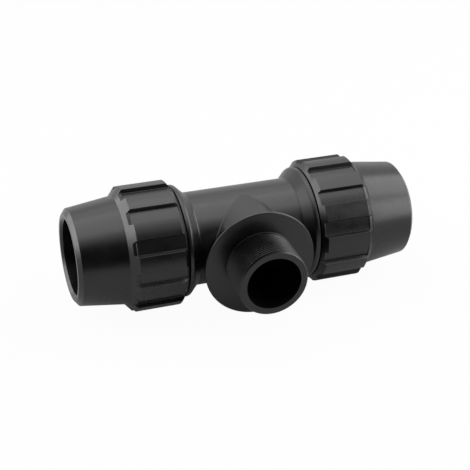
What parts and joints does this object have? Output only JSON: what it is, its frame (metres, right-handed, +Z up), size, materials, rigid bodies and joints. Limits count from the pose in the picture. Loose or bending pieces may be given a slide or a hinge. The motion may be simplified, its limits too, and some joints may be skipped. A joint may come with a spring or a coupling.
{
  "type": "compression pipe tee with threaded branch",
  "caption": "Compression pipe tee with a padded screw nut, grip ring and seal at each run end and a flanged, male-threaded branch at right angles.",
  "frame": {"origin": "where the run axis and the branch axis cross, in the middle of the waterway", "axes": "+X along the run to the right nut, -Y along the branch towards its thread, +Z up when the tee lies on its nuts"},
  "size_m": [0.2994, 0.1433, 0.108],
  "materials": {
    "body_plastic": "satin moulded polypropylene",
    "nut_plastic": "satin moulded polypropylene",
    "ring_plastic": "moulded acetal",
    "bush_plastic": "moulded polypropylene",
    "seal_rubber": "smooth nitrile rubber"
  },
  "bodies": {
    "body": {"tee_body": "body_plastic", "left_bush": "bush_plastic", "right_bush": "bush_plastic", "left_seal": "seal_rubber", "right_seal": "seal_rubber"},
    "left_ring": {"left_grip_ring": "ring_plastic"},
    "left_cap": {"left_nut": "nut_plastic"},
    "right_ring": {"right_grip_ring": "ring_plastic"},
    "right_cap": {"right_nut": "nut_plastic"}
  },
  "joints": [
    {"name": "left_ring_slide", "type": "slide", "parent": "body", "child": "left_ring", "axis": [-1, 0, 0], "range_m": [0, 0.018]},
    {"name": "left_nut_turn", "type": "hinge", "parent": "left_ring", "child": "left_cap", "pos_m": [-0.1, 0, 0], "axis": [-1, 0, 0], "range_deg": [0, 1080]},
    {"name": "right_ring_slide", "type": "slide", "parent": "body", "child": "right_ring", "axis": [1, 0, 0], "range_m": [0, 0.018]},
    {"name": "right_nut_turn", "type": "hinge", "parent": "right_ring", "child": "right_cap", "pos_m": [0.1, 0, 0], "axis": [1, 0, 0], "range_deg": [0, 1080]}
  ],
  "couplings": [
    {"joint": "left_ring_slide", "follows": "left_nut_turn", "m_per_rad": 0.0009549},
    {"joint": "right_ring_slide", "follows": "right_nut_turn", "m_per_rad": 0.0009549}
  ]
}
